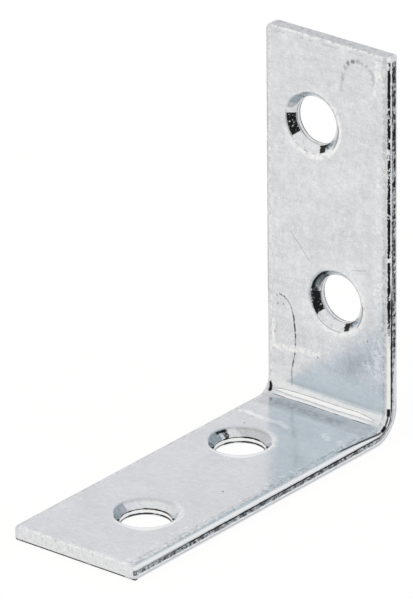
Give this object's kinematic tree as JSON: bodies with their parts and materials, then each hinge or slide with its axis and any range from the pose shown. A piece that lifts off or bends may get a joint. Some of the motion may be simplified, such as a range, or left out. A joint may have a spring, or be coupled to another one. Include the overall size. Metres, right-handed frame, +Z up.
{
  "type": "corner brace bracket",
  "caption": "L-shaped corner brace bent from one flat zinc-plated steel strip, with staggered countersunk screw holes in both legs.",
  "frame": {"origin": "middle of the underside of the foot, below the centre of the bracket's box", "axes": "+X along the foot towards the wall leg's outside face, +Y across the strip, +Z up along the wall leg"},
  "size_m": [0.04, 0.015, 0.04],
  "materials": {
    "zinc_plated_steel": "bright zinc plate, lightly scuffed"
  },
  "bodies": {
    "root": {"brace": "zinc_plated_steel"}
  },
  "joints": []
}
